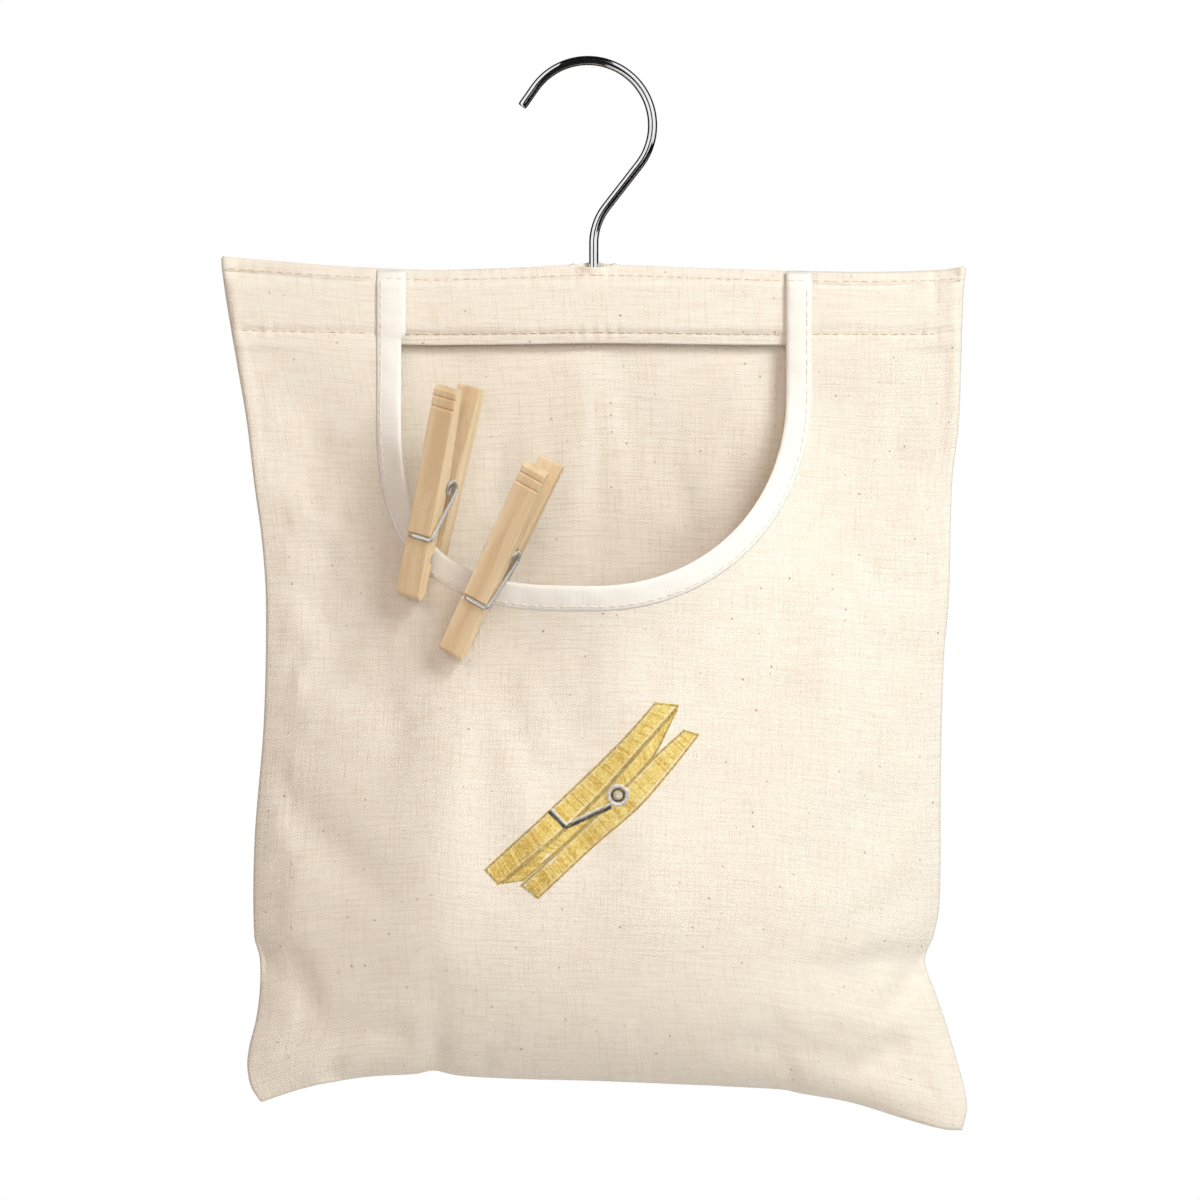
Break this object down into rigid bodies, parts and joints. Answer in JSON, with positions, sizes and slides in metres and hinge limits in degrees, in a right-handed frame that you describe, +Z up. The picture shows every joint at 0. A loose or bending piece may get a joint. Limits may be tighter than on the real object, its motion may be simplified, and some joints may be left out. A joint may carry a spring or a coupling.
{
  "type": "peg bag",
  "caption": "Canvas peg bag sewn round a hanger bar, with a bound U-shaped mouth, a swivelling wire hook and spring pegs clipped to the rim.",
  "frame": {"origin": "the point under the top of the hook's wire that rests on a line, midway through the wire's width", "axes": "+Z up, -Y to the front where the mouth opens, +X to the right of someone who faces the front"},
  "size_m": [0.2992, 0.0901, 0.4314],
  "materials": {
    "canvas": "natural cotton canvas, plain weave with dark seed flecks",
    "tape": "white cotton binding tape",
    "peg_wood": "bare pale beech",
    "bar_wood": "planed pale softwood, hidden in the hem",
    "hook_chrome": "polished chrome",
    "spring_steel": "drawn and zinc plated wire"
  },
  "bodies": {
    "hook": {"hook": "hook_chrome"},
    "bag": {"back_panel": "canvas", "front_panel": "canvas", "rim_binding": "tape", "hanger_bar": "bar_wood", "hook_washer": "spring_steel"},
    "left_peg": {"left_peg_rear_leg": "peg_wood", "left_peg_spring": "spring_steel"},
    "left_peg_front": {"left_peg_front_leg": "peg_wood"},
    "right_peg": {"right_peg_rear_leg": "peg_wood", "right_peg_spring": "spring_steel"},
    "right_peg_front": {"right_peg_front_leg": "peg_wood"}
  },
  "joints": [
    {"name": "hook_swivel", "type": "hinge", "parent": "hook", "child": "bag", "pos_m": [0.0024, 0, -0.09], "axis": [0, 0, 1], "continuous": true},
    {"name": "left_peg_pull", "type": "slide", "parent": "bag", "child": "left_peg", "axis": [0.2067, -0.1664, 0.9642], "range_m": [0, 0.042]},
    {"name": "left_peg_jaw", "type": "hinge", "parent": "left_peg", "child": "left_peg_front", "pos_m": [-0.05869, -0.02889, -0.16886], "axis": [-0.8582, 0.4425, 0.2603], "range_deg": [0, 16], "stiffness_Nm_per_rad": 0.08, "springref_deg": -22.92, "deforming": ["left_peg_spring"]},
    {"name": "right_peg_pull", "type": "slide", "parent": "bag", "child": "right_peg", "axis": [0.4146, -0.2932, 0.8615], "range_m": [0, 0.042]},
    {"name": "right_peg_jaw", "type": "hinge", "parent": "right_peg", "child": "right_peg_front", "pos_m": [-0.03348, -0.03904, -0.19553], "axis": [-0.8512, 0.2097, 0.4811], "range_deg": [0, 16], "stiffness_Nm_per_rad": 0.08, "springref_deg": -22.92, "deforming": ["right_peg_spring"]}
  ]
}
